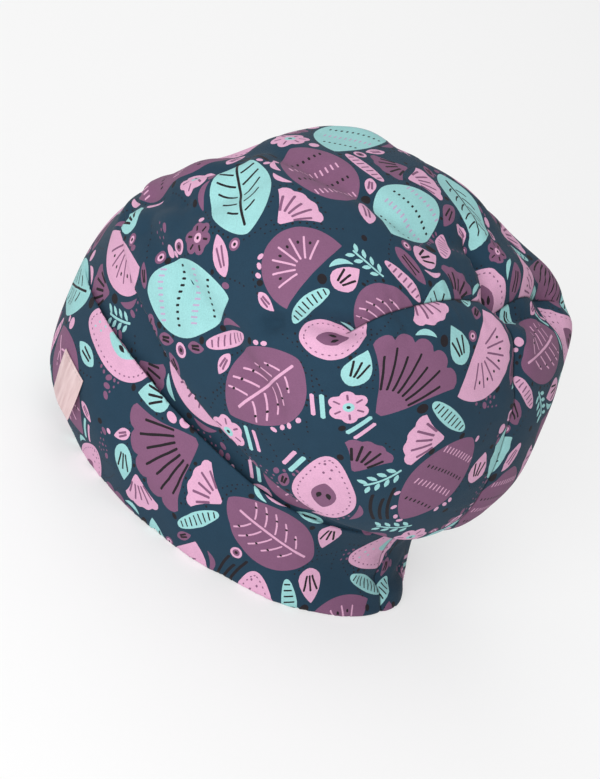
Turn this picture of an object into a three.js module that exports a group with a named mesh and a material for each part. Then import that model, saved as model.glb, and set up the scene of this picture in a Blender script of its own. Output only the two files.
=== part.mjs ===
// Slouchy jersey beanie: one doubled cloth bag with an open rim, and a small woven label.
// Millimetres, +Z up. The rim lies flat on z = 0. The tables below count from the rim's middle.
// -X is the front of the hat, +X the back, -Y the wearer's left side.

import * as THREE from 'three';

// Driving sizes
const WALL = 2.2; // doubled jersey
const TOP_WALL = 4.2; // straight down through the leaning cloth at the top centre
const COLUMNS = 64; // steps round the hat
const BAND_STEPS = 6;
const TUCK_STEPS = 8;
const CROWN_STEPS = 18;
const INNER_STEPS = 20; // from the rim to the top
const LABEL_WIDTH = 22.6;
const LABEL_HEIGHT = 19;
const LABEL_THICKNESS = 0.8;
const LABEL_GAP = 0.2; // from the smooth form to the label's back
const LABEL_LIFT = 5; // how far the free edge stands off at its middle
const LABEL_TWIST = 2; // how much more it stands off at its back corner
const LABEL_ANGLE = -116; // degrees from the back
const LABEL_TOP_LEVEL = 1.29; // in rows of the section table
const LABEL_COLUMNS = 8;
const LABEL_ROWS = 6;

// Level sections from the rim to the top centre, where the four dart seams meet. Each is a
// flat ring through a front and a back point; squareness 2 is an ellipse, more is boxier.
const SECTIONS = [
  { frontX: -97, frontZ: 0, backX: 99, backZ: 0, halfWidth: 77, squareness: 2.0 }, // rim
  { frontX: -117, frontZ: 40, backX: 85, backZ: 22, halfWidth: 91, squareness: 2.15 }, // band
  { frontX: -120, frontZ: 84, backX: 90, backZ: 45, halfWidth: 92, squareness: 2.2 }, // band lip
  { frontX: -108, frontZ: 124, backX: 106, backZ: 56, halfWidth: 98, squareness: 2.3 }, // overhang
  { frontX: -85, frontZ: 152, backX: 114, backZ: 78, halfWidth: 102, squareness: 2.35 },
  { frontX: -54, frontZ: 176, backX: 113, backZ: 104, halfWidth: 101, squareness: 2.4 },
  { frontX: -22, frontZ: 189, backX: 108, backZ: 129, halfWidth: 92, squareness: 2.4 },
  { frontX: 12, frontZ: 194, backX: 99, backZ: 149, halfWidth: 72, squareness: 2.3 },
  { frontX: 42, frontZ: 187, backX: 89, backZ: 162, halfWidth: 40, squareness: 2.1 },
  { frontX: 73, frontZ: 168, backX: 73, backZ: 168, halfWidth: 0, squareness: 2.0 }, // top centre
];
const TOP_LEVEL = SECTIONS.length - 1;

// Two tucks where the slack cloth laps over itself: the band's lip stands in front of the
// cloth above it, and the slouching crown overhangs the strip below it. Both run out to
// nothing at the forehead. Angles are measured from the back, alike on both sides.
const LIP_LEVEL = 2;
const OVERHANG_LEVEL = 3;
const TUCKS = [
  { angle: 0, lipLap: 0, lipDepth: 0, overhangLap: 20, overhangDepth: 6 },
  { angle: 40, lipLap: 4, lipDepth: 3, overhangLap: 16, overhangDepth: 6 },
  { angle: 70, lipLap: 12, lipDepth: 5, overhangLap: 14, overhangDepth: 6 },
  { angle: 95, lipLap: 12, lipDepth: 5, overhangLap: 12, overhangDepth: 5 },
  { angle: 120, lipLap: 6, lipDepth: 3, overhangLap: 6, overhangDepth: 3 },
  { angle: 145, lipLap: 0, lipDepth: 0, overhangLap: 0, overhangDepth: 0 },
  { angle: 180, lipLap: 0, lipDepth: 0, overhangLap: 0, overhangDepth: 0 },
];
const TUCK_REACH = 0.1; // levels on each side of a tuck's line
const LEVEL_HEIGHT = 26; // cloth length of one level, for turning a lap into levels

// Soft dents along short lines on the cloth; a negative depth swells outward.
const DENTS = [
  { from: [5, 75, 172], to: [62, 66, 160], width: 32, depth: 13 }, // far slope behind the crest
  { from: [-12, 38, 187], to: [38, 56, 177], width: 19, depth: 7 }, // top of the far slope
  { from: [-95, 25, 138], to: [-60, 50, 164], width: 28, depth: 10 }, // far front flap
  { from: [-102, -34, 124], to: [-77, -24, 153], width: 27, depth: 9.5 }, // near front flap
  { from: [-48, 12, 179], to: [-36, 22, 183], width: 18, depth: -3.5 }, // crest
  { from: [54, 79, 152], to: [72, 77, 149], width: 18, depth: -8 }, // far back corner
  { from: [100, 62, 128], to: [104, 56, 106], width: 22, depth: 3 }, // below the far back corner
  { from: [-76, -66, 14], to: [-84, -66, 26], width: 22, depth: -5 }, // band under the label
  { from: [88, 36, 12], to: [86, 36, 26], width: 16, depth: 4 }, // far back of the band
  { from: [-5, -45, 184], to: [45, -34, 181], width: 12, depth: 3 }, // valley before the top
  { from: [-18, -99, 124], to: [42, -98, 108], width: 9, depth: 3 }, // side crease
  { from: [73, 0, 168], to: [64, -74, 156], width: 6, depth: 2.5 }, // near dart seam
  { from: [73, 0, 168], to: [64, 74, 156], width: 6, depth: 2.5 }, // far dart seam
  { from: [73, 0, 168], to: [20, 0, 191], width: 6, depth: 2.5 }, // front dart seam
  { from: [73, 0, 168], to: [108, 0, 130], width: 6, depth: 2.5 }, // back dart seam
  { from: [79, 8, 168], to: [84, 26, 165], width: 9, depth: 5 }, // hollow beside the top centre
];

// Smooth curve through the section table. A level is a row number, with fractions between.
function sectionAt(level) {
  const last = TOP_LEVEL;
  const row = Math.min(Math.floor(level), last - 1);
  const part = level - row;
  const before = SECTIONS[Math.max(row - 1, 0)];
  const low = SECTIONS[row];
  const high = SECTIONS[row + 1];
  const after = SECTIONS[Math.min(row + 2, last)];
  const section = {};
  for (const key of Object.keys(low)) {
    const rise = high[key] - low[key];
    const slopeLow = row === 0 ? rise : (high[key] - before[key]) / 2;
    const slopeHigh = row === last - 1 ? rise : (after[key] - low[key]) / 2;
    section[key] =
      (2 * part ** 3 - 3 * part ** 2 + 1) * low[key] +
      (part ** 3 - 2 * part ** 2 + part) * slopeLow +
      (3 * part ** 2 - 2 * part ** 3) * high[key] +
      (part ** 3 - part ** 2) * slopeHigh;
  }
  return section;
}

// A point of the smooth form. Angle 0 is the back, a quarter turn the far side.
function formPoint(angle, level) {
  const s = sectionAt(level);
  const cos = Math.cos(angle);
  const sin = Math.sin(angle);
  const power = s.squareness;
  const reach = (Math.abs(cos) ** power + Math.abs(sin) ** power) ** (-1 / power);
  const along = reach * cos;
  return new THREE.Vector3(
    (s.frontX + s.backX) / 2 + (along * (s.backX - s.frontX)) / 2,
    reach * sin * s.halfWidth,
    (s.frontZ + s.backZ) / 2 + (along * (s.backZ - s.frontZ)) / 2,
  );
}

// The outward direction of the smooth form.
function formNormal(angle, level) {
  const step = 0.001;
  const low = Math.max(level - step, 0);
  const high = Math.min(level + step, TOP_LEVEL - step);
  const up = formPoint(angle, high).sub(formPoint(angle, Math.min(low, high - step)));
  const round = formPoint(angle + step, high).sub(formPoint(angle - step, high));
  return round.cross(up).normalize();
}

function smoothStep(x) {
  const t = Math.min(Math.max(x, 0), 1);
  return t * t * (3 - 2 * t);
}

// A column of the tuck table at this angle, in straight steps between its rows.
function tuckValue(angle, key) {
  const turned = Math.abs(Math.atan2(Math.sin(angle), Math.cos(angle)));
  const degrees = THREE.MathUtils.radToDeg(turned);
  const next = Math.max(1, TUCKS.findIndex((row) => row.angle >= degrees - 1e-9));
  const low = TUCKS[next - 1];
  const high = TUCKS[next];
  const share = (degrees - low.angle) / (high.angle - low.angle);
  return low[key] + share * (high[key] - low[key]);
}

function dentDepth(point) {
  let depth = 0;
  for (const dent of DENTS) {
    const line = new THREE.Line3(new THREE.Vector3(...dent.from), new THREE.Vector3(...dent.to));
    const nearest = new THREE.Vector3().copy(line.start);
    if (line.distanceSq() > 0) {
      line.closestPointToPoint(point, true, nearest);
    }
    depth += dent.depth * Math.exp(-((nearest.distanceTo(point) / dent.width) ** 2));
  }
  return depth;
}

// A cloth point, pushed inward by this much and by the dents.
function clothPoint(angle, level, inward) {
  const point = formPoint(angle, level);
  if (level === TOP_LEVEL) {
    const down = inward + dentDepth(point);
    return point.addScaledVector(new THREE.Vector3(0, 0, -1), down);
  }
  return point.addScaledVector(formNormal(angle, level), -inward - dentDepth(point));
}

// The outer face, as a list of rows. Each row says where it is at a given angle.
function outerRows() {
  const rows = [];
  const plain = (level) => rows.push(() => ({ level, inward: 0 }));
  const tuck = (line, lapKey, depthAt) => {
    for (let i = 0; i <= TUCK_STEPS; i += 1) {
      const part = i / TUCK_STEPS;
      rows.push((angle) => {
        const lap = tuckValue(angle, lapKey) / LEVEL_HEIGHT / 2;
        const level = line + TUCK_REACH * (2 * part - 1) + lap * Math.sin(2 * Math.PI * part);
        return { level, inward: depthAt(angle, smoothStep(part)) };
      });
    }
  };
  const bandEnd = LIP_LEVEL - TUCK_REACH;
  for (let i = 0; i < BAND_STEPS; i += 1) {
    plain((bandEnd * i) / BAND_STEPS);
  }
  tuck(LIP_LEVEL, 'lipLap', (angle, part) => tuckValue(angle, 'lipDepth') * part);
  rows.push((angle) => ({
    level: (LIP_LEVEL + OVERHANG_LEVEL) / 2,
    inward: (tuckValue(angle, 'lipDepth') + tuckValue(angle, 'overhangDepth')) / 2,
  }));
  tuck(OVERHANG_LEVEL, 'overhangLap', (angle, part) => tuckValue(angle, 'overhangDepth') * (1 - part));
  const crownStart = OVERHANG_LEVEL + TUCK_REACH;
  for (let i = 1; i < CROWN_STEPS; i += 1) {
    plain(crownStart + ((TOP_LEVEL - crownStart) * i) / CROWN_STEPS);
  }
  return rows;
}

// How far inside the form the inner face lies: behind the tucks it clears the folded layers.
function innerInset(angle, level) {
  const fade = 0.9;
  const below = smoothStep((level - (LIP_LEVEL - fade)) / fade);
  const above = smoothStep((OVERHANG_LEVEL + fade - level) / fade);
  const stack = Math.max(tuckValue(angle, 'lipDepth'), tuckValue(angle, 'overhangDepth'));
  return WALL + stack * below * above;
}

function innerPoint(angle, level) {
  if (level === 0) {
    const inward = formNormal(angle, 0).setZ(0).normalize();
    return formPoint(angle, 0).addScaledVector(inward, -WALL);
  }
  return clothPoint(angle, level, innerInset(angle, level));
}

// A closed body from rings of points between two end caps, each cap a single point.
function skin(rings, firstCap, lastCap) {
  const count = rings[0].length;
  const points = [...rings.flat(), firstCap, lastCap];
  const first = points.length - 2;
  const last = points.length - 1;
  const index = [];
  for (let column = 0; column < count; column += 1) {
    const next = (column + 1) % count;
    index.push(first, next, column);
    for (let row = 0; row < rings.length - 1; row += 1) {
      const a = row * count + column;
      const b = row * count + next;
      index.push(a, b, b + count, a, b + count, a + count);
    }
    const base = (rings.length - 1) * count;
    index.push(base + column, base + next, last);
  }
  const geometry = new THREE.BufferGeometry();
  geometry.setAttribute('position', new THREE.Float32BufferAttribute(points.flatMap((p) => p.toArray()), 3));
  geometry.setIndex(index);
  geometry.computeVertexNormals();
  return geometry;
}

// The bag: inner face from its top down to the rim, then the outer face up to the top.
function hatBody() {
  const angles = Array.from({ length: COLUMNS }, (_, i) => (2 * Math.PI * i) / COLUMNS);
  const rings = [];
  for (let i = INNER_STEPS - 1; i >= 0; i -= 1) {
    rings.push(angles.map((angle) => innerPoint(angle, (TOP_LEVEL * i) / INNER_STEPS)));
  }
  for (const row of outerRows()) {
    rings.push(
      angles.map((angle) => {
        const place = row(angle);
        return clothPoint(angle, place.level, place.inward);
      }),
    );
  }
  // The rim is a flat ring on the table.
  rings[INNER_STEPS].forEach((point) => point.setZ(0));
  const innerTop = clothPoint(0, TOP_LEVEL, TOP_WALL);
  const outerTop = clothPoint(0, TOP_LEVEL, 0);
  return skin(rings, innerTop, outerTop);
}

// The label hangs from its top edge on the band and stands off the cloth at its free edge.
function labelBody() {
  const middle = THREE.MathUtils.degToRad(LABEL_ANGLE);
  const probe = 0.1;
  const start = formPoint(middle, LABEL_TOP_LEVEL);
  const perRadian = formPoint(middle + probe, LABEL_TOP_LEVEL).distanceTo(start) / probe;
  const perLevel = formPoint(middle, LABEL_TOP_LEVEL - probe).distanceTo(start) / probe;
  const halfTurn = LABEL_WIDTH / 2 / perRadian;
  const drop = LABEL_HEIGHT / perLevel;
  const face = (clearance) => {
    const grid = [];
    for (let i = 0; i <= LABEL_ROWS; i += 1) {
      const part = i / LABEL_ROWS;
      const level = LABEL_TOP_LEVEL - drop * part;
      const row = [];
      for (let j = 0; j <= LABEL_COLUMNS; j += 1) {
        const side = (2 * j) / LABEL_COLUMNS - 1;
        const lift = (LABEL_LIFT + LABEL_TWIST * side) * part * part;
        row.push(clothPoint(middle + halfTurn * side, level, -clearance - lift));
      }
      grid.push(row);
    }
    return grid;
  };
  const inner = face(LABEL_GAP);
  const outer = face(LABEL_GAP + LABEL_THICKNESS);
  const rim = (grid) => [
    ...grid[0].slice(0, -1),
    ...grid.map((row) => row[LABEL_COLUMNS]).slice(0, -1),
    ...grid[LABEL_ROWS].slice(1).reverse(),
    ...grid.map((row) => row[0]).slice(1).reverse(),
  ];
  const points = [...inner.flat(), ...outer.flat()];
  const wide = LABEL_COLUMNS + 1;
  const outerStart = wide * (LABEL_ROWS + 1);
  const index = [];
  for (let i = 0; i < LABEL_ROWS; i += 1) {
    for (let j = 0; j < LABEL_COLUMNS; j += 1) {
      const a = i * wide + j;
      index.push(a, a + 1, a + 1 + wide, a, a + 1 + wide, a + wide);
      const b = a + outerStart;
      index.push(b, b + 1 + wide, b + 1, b, b + wide, b + 1 + wide);
    }
  }
  const edge = rim(inner).map((point) => points.indexOf(point));
  edge.forEach((here, i) => {
    const next = edge[(i + 1) % edge.length];
    index.push(here, here + outerStart, next + outerStart, here, next + outerStart, next);
  });
  const geometry = new THREE.BufferGeometry();
  geometry.setAttribute('position', new THREE.Float32BufferAttribute(points.flatMap((p) => p.toArray()), 3));
  geometry.setIndex(index);
  geometry.computeVertexNormals();
  return geometry;
}

function named(name, geometry, color, roughness) {
  const mesh = new THREE.Mesh(geometry, new THREE.MeshStandardMaterial({ color, roughness, metalness: 0 }));
  mesh.name = name;
  return mesh;
}

const hat = new THREE.Group();
hat.add(named('hat_body', hatBody(), 0x2f4657, 0.9));
hat.add(named('label', labelBody(), 0xe1c8c6, 0.45));
// The origin is the middle of the hat's length and width.
const middle = new THREE.Box3().setFromObject(hat).getCenter(new THREE.Vector3());
hat.position.set(-middle.x, -middle.y, 0);

export default hat;
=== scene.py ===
"""Slouchy jersey beanie on a pale floor.

hat_body: the doubled jersey bag. Its outer cloth is laid out flat, the print is drawn on the
          flat cloth as outlines, and the cloth is then carried back onto the hat's form.
label:    the small bare satin label on the band.

Lengths are millimetres in the rim's own frame until a mesh is made; x runs from the front of
the hat to its back, y to the wearer's right, z up from the rim.
"""

import math
from collections import namedtuple

import bmesh
import bpy
import numpy as np
from mathutils import Matrix, Vector
from mathutils.bvhtree import BVHTree
from mathutils.geometry import delaunay_2d_cdt
from mathutils.kdtree import KDTree


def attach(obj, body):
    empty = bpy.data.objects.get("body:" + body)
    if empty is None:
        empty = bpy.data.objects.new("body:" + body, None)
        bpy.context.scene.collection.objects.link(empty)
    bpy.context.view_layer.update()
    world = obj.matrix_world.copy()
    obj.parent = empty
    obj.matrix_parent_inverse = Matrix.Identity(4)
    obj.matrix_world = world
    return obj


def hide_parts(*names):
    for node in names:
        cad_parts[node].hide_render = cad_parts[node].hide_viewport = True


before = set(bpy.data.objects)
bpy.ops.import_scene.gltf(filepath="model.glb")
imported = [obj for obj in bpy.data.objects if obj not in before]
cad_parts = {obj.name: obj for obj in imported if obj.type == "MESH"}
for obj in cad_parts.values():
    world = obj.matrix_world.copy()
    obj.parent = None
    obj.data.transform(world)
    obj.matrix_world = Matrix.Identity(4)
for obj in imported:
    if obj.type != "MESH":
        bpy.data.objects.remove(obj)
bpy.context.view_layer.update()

MM = 0.001
TINY = 1e-9

# ------------------------------------------------------------------ the hat's form

# Level rings from the rim to the top centre, each a flat ring through a front and a back
# point; squareness 2 is an ellipse, more is boxier.
Section = namedtuple("Section", "front_x front_z back_x back_z half_width squareness")
SECTIONS = [
    Section(-97, 0, 99, 0, 77, 2.0),  # rim
    Section(-117, 40, 85, 22, 91, 2.15),  # band
    Section(-120, 84, 90, 45, 92, 2.2),  # band lip
    Section(-108, 124, 106, 56, 98, 2.3),  # overhang
    Section(-85, 152, 114, 78, 102, 2.35),
    Section(-54, 176, 113, 104, 101, 2.4),
    Section(-22, 189, 108, 129, 92, 2.4),
    Section(12, 194, 99, 149, 72, 2.3),
    Section(42, 187, 89, 162, 40, 2.1),
    Section(73, 168, 73, 168, 0, 2.0),  # top centre
]
TOP_LEVEL = len(SECTIONS) - 1
NEAR_TOP = 8.2  # the level where the cloth's normals start turning upward

# The two tucks where the slack cloth laps over itself, by angle from the back.
Tuck = namedtuple("Tuck", "angle lip_lap lip_depth overhang_lap overhang_depth")
TUCKS = [
    Tuck(0, 0, 0, 20, 6),
    Tuck(40, 4, 3, 16, 6),
    Tuck(70, 12, 5, 14, 6),
    Tuck(95, 12, 5, 12, 5),
    Tuck(120, 6, 3, 6, 3),
    Tuck(145, 0, 0, 0, 0),
    Tuck(180, 0, 0, 0, 0),
]
LIP_LEVEL = 2
OVERHANG_LEVEL = 3
TUCK_REACH = 0.1  # levels on each side of a tuck's line
LEVEL_HEIGHT = 26.0  # cloth length of one level, for turning a lap into levels

WALL = 2.2  # doubled jersey

# Soft dents and creases along paths on the cloth, which falls in by depth at the path and
# swells by swell on both sides of it. A negative depth swells outward.
Fold = namedtuple("Fold", "width depth swell path")
FOLDS = [
    Fold(32, 13, 0, [(5, 75, 172), (62, 66, 160)]),  # far slope behind the crest
    Fold(19, 7, 0, [(-12, 38, 187), (38, 56, 177)]),  # top of the far slope
    Fold(28, 10, 0, [(-95, 25, 138), (-60, 50, 164)]),  # far front flap
    Fold(27, 9.5, 0, [(-102, -34, 124), (-77, -24, 153)]),  # near front flap
    Fold(18, -3.5, 0, [(-48, 12, 179), (-36, 22, 183)]),  # crest
    Fold(18, -8, 0, [(54, 79, 152), (72, 77, 149)]),  # far back corner
    Fold(22, 3, 0, [(100, 62, 128), (104, 56, 106)]),  # below the far back corner
    Fold(22, -5, 0, [(-76, -66, 14), (-84, -66, 26)]),  # band under the label
    Fold(16, 4, 0, [(88, 36, 12), (86, 36, 26)]),  # far back of the band
    Fold(12, 3, 0, [(-5, -45, 184), (45, -34, 181)]),  # valley before the top
    Fold(9, 3, 0, [(-18, -99, 124), (42, -98, 108)]),  # side crease
    Fold(9, 5, 0, [(79, 8, 168), (84, 26, 165)]),  # hollow beside the top centre
    # valley from the front of the crown to the top centre
    Fold(6, 3.5, 0.8, [(-50, -42, 172), (-27, -49, 182), (-7, -50, 186), (10, -48, 188), (24, -47, 187),
                       (36, -40, 186), (44, -22, 185), (52, 0, 181), (64, 4, 172)]),
    # side crease above the overhang
    Fold(5, 2.6, 0.9, [(-58, -84, 126), (-31, -95, 126), (-8, -98, 123), (22, -100, 117), (36, -99, 111),
                       (50, -97, 104)]),
    # pinch and dimple at the near dart's end, and the crease that leads up to it
    Fold(4, 3.4, 0.9, [(31, -101, 138), (43, -97, 147), (52, -94, 150), (60, -89, 153), (66, -82, 157)]),
    Fold(6, 2.6, 0.5, [(50, -94, 151), (61, -89, 153)]),
    Fold(2.6, 1.3, 0.5, [(8, -101, 117), (16, -101, 123), (26, -102, 131), (33, -101, 139)]),
    Fold(5, 2.8, 1.0, [(-77, -70, 126), (-72, -72, 133), (-59, -78, 139), (-47, -82, 147)]),  # near flap
    Fold(6, 2.2, 0.8, [(-38, -88, 148), (-31, -85, 158), (-24, -78, 168)]),
    Fold(10, 6.5, 0, [(80, 12, 165), (86, 26, 160), (84, 42, 158), (79, 60, 156)]),  # below the far dart
    Fold(9, -2.5, 0, [(62, 22, 172), (62, 40, 168), (62, 60, 162)]),  # above the far dart
    Fold(4, 2.8, 1.2, [(-90, -54, 128), (-84, -62, 124), (-79, -71, 117)]),  # front pleat
    Fold(5, 2.2, 0.8, [(-47, -50, 172), (-44, -59, 170), (-48, -65, 164), (-56, -68, 156)]),
    Fold(8, 4.2, 0.8, [(-68, -22, 158), (-60, -38, 164), (-55, -49, 166), (-48, -60, 167)]),
    Fold(10, 2.2, 0, [(20, 16, 192), (33, 18, 190), (46, 24, 187)]),  # far side of the crest
    Fold(10, 2.0, 0, [(-97, -64, 56), (-90, -70, 42), (-82, -75, 34)]),  # above the label
    Fold(3.2, 1.8, 0.8, [(84, -12, 15), (89, 2, 13), (90, 14, 12), (86, 28, 12)]),  # band
]
SWELL_AT, SWELL_REACH = 2.2, 1.1  # widths from the path to the top of the swell, and its own

# Seams to the top centre: each follows one angle, in degrees from the back, and draws the
# cloth in along a fine line and more widely round it.
Seam = namedtuple("Seam", "angle low_level line_depth wide_depth")
SEAMS = [
    Seam(0, 0.0, 0.7, 0.6),  # back
    Seam(0, 6.6, 0.2, 1.9),  # back, near the top centre
    Seam(65, 6.4, 0.9, 3.5),  # far dart
    Seam(180, 8.0, 0.9, 2.5),  # front dart
    Seam(-75, 5.9, 0.9, 2.5),  # near dart
]
SEAM_LINE = 1.1  # width of the fine line
SEAM_WIDE = 6.0
PUCKER_LENGTH = 9.0  # of one wave along a seam
PUCKER_BEAT = 1.1  # radians for each millimetre, of the wave that makes the puckers uneven
PUCKER_REACH = 6.0
PUCKER_DEPTH = 0.45

# The cloth is nowhere quite even: a few long, low waves in all directions.
WAVE_SEED = 5
WAVE_COUNT = 14
WAVE_SHORTEST, WAVE_LONGEST = 24.0, 60.0
WAVE_DEPTH = 0.28


def catmull(table, at):
    """Smooth curve through the rows of a table; at is a row number with fractions."""
    rows = np.asarray(table, float)
    last = len(rows) - 1
    low = np.clip(np.floor(at).astype(int), 0, last - 1)
    part = (at - low)[:, None]
    before, after = rows[np.maximum(low - 1, 0)], rows[np.minimum(low + 2, last)]
    first, second = rows[low], rows[low + 1]
    slope_first = np.where((low == 0)[:, None], second - first, (second - before) / 2)
    slope_second = np.where((low == last - 1)[:, None], second - first, (after - first) / 2)
    square, cube = part**2, part**3
    curve = (2 * cube - 3 * square + 1) * first + (cube - 2 * square + part) * slope_first
    return curve + (3 * square - 2 * cube) * second + (cube - square) * slope_second


def form_point(angle, level):
    """Points of the smooth form. Angle 0 is the back, a quarter turn the far side."""
    s = Section(*catmull(SECTIONS, level).T)
    cos, sin = np.cos(angle), np.sin(angle)
    reach = (abs(cos) ** s.squareness + abs(sin) ** s.squareness) ** (-1 / s.squareness)
    along = reach * cos
    x = (s.front_x + s.back_x) / 2 + along * (s.back_x - s.front_x) / 2
    z = (s.front_z + s.back_z) / 2 + along * (s.back_z - s.front_z) / 2
    return np.stack([x, reach * sin * s.half_width, z], axis=-1)


def unit(vectors):
    return vectors / np.maximum(np.linalg.norm(vectors, axis=-1, keepdims=True), 1e-12)


def points_of(x, y):
    return np.stack([x, y], axis=-1)


def cross(one, other):
    """The cross product of vectors in the plane."""
    return one[..., 0] * other[..., 1] - one[..., 1] * other[..., 0]


def full_turn(count):
    """Angles evenly round the whole turn."""
    return 2 * np.pi * np.arange(count) / count


def closed(outline):
    return np.vstack([outline, outline[:1]])


def steps_along(line):
    return np.linalg.norm(np.diff(line, axis=0), axis=1)


def run_of(steps):
    """How far along a line each of its corners is."""
    return np.concatenate([[0], np.cumsum(steps)])


def place_on(line, run, at):
    """Points of a line, by how far along it they are."""
    return points_of(*(np.interp(at, run, values) for values in line.T))


def smooth_step(x):
    t = np.clip(x, 0, 1)
    return t * t * (3 - 2 * t)


STEP = 0.001  # for finding directions on the form, in levels or radians


def form_normal(angle, level):
    """The form's outward direction, which turns to straight up near the top centre."""
    high = np.clip(level + STEP, STEP, TOP_LEVEL - STEP)
    up = form_point(angle, high) - form_point(angle, np.maximum(high - 2 * STEP, 0))
    around = form_point(angle + STEP, high) - form_point(angle - STEP, high)
    share = smooth_step((level - NEAR_TOP) / (TOP_LEVEL - NEAR_TOP))[:, None]
    return unit(unit(np.cross(around, up)) * (1 - share) + np.array([0, 0, 1]) * share)


def path_distance(points, path):
    """Distance to a bent path, and how far along the path the nearest place is."""
    path = np.asarray(path, float)
    best = np.full(len(points), np.inf)
    along = np.zeros(len(points))
    run = 0.0
    for start, way in zip(path, np.diff(path, axis=0)):
        length = np.linalg.norm(way)
        share = np.clip((points - start) @ way / max(length**2, TINY), 0, 1)
        apart = np.linalg.norm(points - start - share[:, None] * way, axis=1)
        nearer = apart < best
        best[nearer] = apart[nearer]
        along[nearer] = run + share[nearer] * length
        run += length
    return best, along


def seam_path(seam):
    levels = np.linspace(seam.low_level, TOP_LEVEL, 40)
    return form_point(np.full(len(levels), math.radians(seam.angle)), levels)


def make_waves():
    draw_wave = np.random.default_rng(WAVE_SEED)
    ways = unit(draw_wave.normal(size=(WAVE_COUNT, 3)))
    lengths = draw_wave.uniform(WAVE_SHORTEST, WAVE_LONGEST, WAVE_COUNT)
    return ways * (2 * np.pi / lengths)[:, None], draw_wave.uniform(0, 2 * np.pi, WAVE_COUNT)


WAVE_WAYS, WAVE_STARTS = make_waves()
SEAM_PATHS = [seam_path(seam) for seam in SEAMS]


def dent_depth(points):
    """How far the cloth lies inside the smooth form."""
    depth = np.zeros(len(points))
    for fold in FOLDS:
        apart = path_distance(points, fold.path)[0] / fold.width
        depth += fold.depth * np.exp(-(apart**2))
        depth -= fold.swell * np.exp(-(((apart - SWELL_AT) / SWELL_REACH) ** 2))
    for seam, path in zip(SEAMS, SEAM_PATHS):
        apart, along = path_distance(points, path)
        depth += seam.line_depth * np.exp(-apart / SEAM_LINE)
        depth += seam.wide_depth * np.exp(-((apart / SEAM_WIDE) ** 2))
        pucker = np.sin(2 * np.pi * along / PUCKER_LENGTH) + np.sin(along * PUCKER_BEAT + seam.angle)
        reach = apart / PUCKER_REACH
        depth += PUCKER_DEPTH * seam.line_depth * pucker * reach * np.exp(1 - reach) / 2
    return depth + WAVE_DEPTH * np.sin(points @ WAVE_WAYS.T + WAVE_STARTS).sum(1) / 2


# The cloth is followed from the rim upward by its course: the band, the lip's fold, the strip
# between the folds, the overhang's fold, and the crown up to the top centre.
STRIP_LEVELS = OVERHANG_LEVEL - LIP_LEVEL - 2 * TUCK_REACH
LIP_COURSE = LIP_LEVEL - TUCK_REACH
STRIP_COURSE = LIP_COURSE + 1
OVERHANG_COURSE = STRIP_COURSE + STRIP_LEVELS
CROWN_COURSE = OVERHANG_COURSE + 1
TOP_COURSE = CROWN_COURSE + TOP_LEVEL - OVERHANG_LEVEL - TUCK_REACH


def tuck_value(angle, column):
    turned = np.degrees(abs(np.arctan2(np.sin(angle), np.cos(angle))))
    return np.interp(turned, [t.angle for t in TUCKS], [getattr(t, column) for t in TUCKS])


def course_place(angle, course):
    """The level of the form that a course lies on, and how far inside the form it is."""
    lip = np.clip(course - LIP_COURSE, 0, 1)
    strip = np.clip(course - STRIP_COURSE, 0, STRIP_LEVELS)
    overhang = np.clip(course - OVERHANG_COURSE, 0, 1)
    level = np.minimum(course, LIP_COURSE) + 2 * TUCK_REACH * (lip + overhang) + strip
    level = level + np.maximum(course - CROWN_COURSE, 0)
    half_lap = 1 / LEVEL_HEIGHT / 2
    level += tuck_value(angle, "lip_lap") * half_lap * np.sin(2 * np.pi * lip)
    level += tuck_value(angle, "overhang_lap") * half_lap * np.sin(2 * np.pi * overhang)
    share = strip / STRIP_LEVELS
    inward = tuck_value(angle, "lip_depth") * smooth_step(lip) * (1 - share)
    inward += tuck_value(angle, "overhang_depth") * (1 - smooth_step(overhang)) * share
    return np.clip(level, 0, TOP_LEVEL), inward


def open_cloth_point(angle, course):
    """The outer face of the cloth, all but the fold at the rim."""
    level, inward = course_place(angle, course)
    point = form_point(angle, level)
    return point - form_normal(angle, level) * (inward + dent_depth(point))[:, None]


# The cloth turns inward at the rim in a half circle that just touches the floor.
RIM_TURN = WALL / 2
RIM_COURSE = -0.09  # where the fold ends, inside the hat
RIM_ZONE = 0.15  # courses of straight cloth above the fold


def rim_fold_point(angle, course):
    zone = np.full_like(angle, RIM_ZONE)
    base, top = open_cloth_point(angle, zone * 0), open_cloth_point(angle, zone)
    beside = open_cloth_point(angle + STEP, zone * 0) - open_cloth_point(angle - STEP, zone * 0)
    base[:, 2] = beside[:, 2] = 0
    up = unit(top - base)
    outward = unit(np.cross(beside, up))
    inward = -unit(outward * [1, 1, 0])
    corner = np.arccos(np.clip((inward * up).sum(1), -1, 1))
    inset = RIM_TURN / np.tan(corner / 2)
    middle = base + inward * inset[:, None] + [0, 0, RIM_TURN]
    start = inset / np.linalg.norm(top - base, axis=1) * RIM_ZONE
    turn = (np.pi * np.clip((start - course) / (start - RIM_COURSE), 0, 1))[:, None]
    fold = middle + RIM_TURN * (np.cos(turn) * outward - np.sin(turn) * up)
    straight = base + (top - base) * (course / RIM_ZONE)[:, None]
    return np.where((course < start)[:, None], fold, straight)


def cloth_point(angle, course):
    point = open_cloth_point(angle, np.maximum(course, 0))
    low = course < RIM_ZONE
    point[low] = rim_fold_point(angle[low], course[low])
    return point


# ------------------------------------------------------------------ the cloth laid out flat

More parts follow.
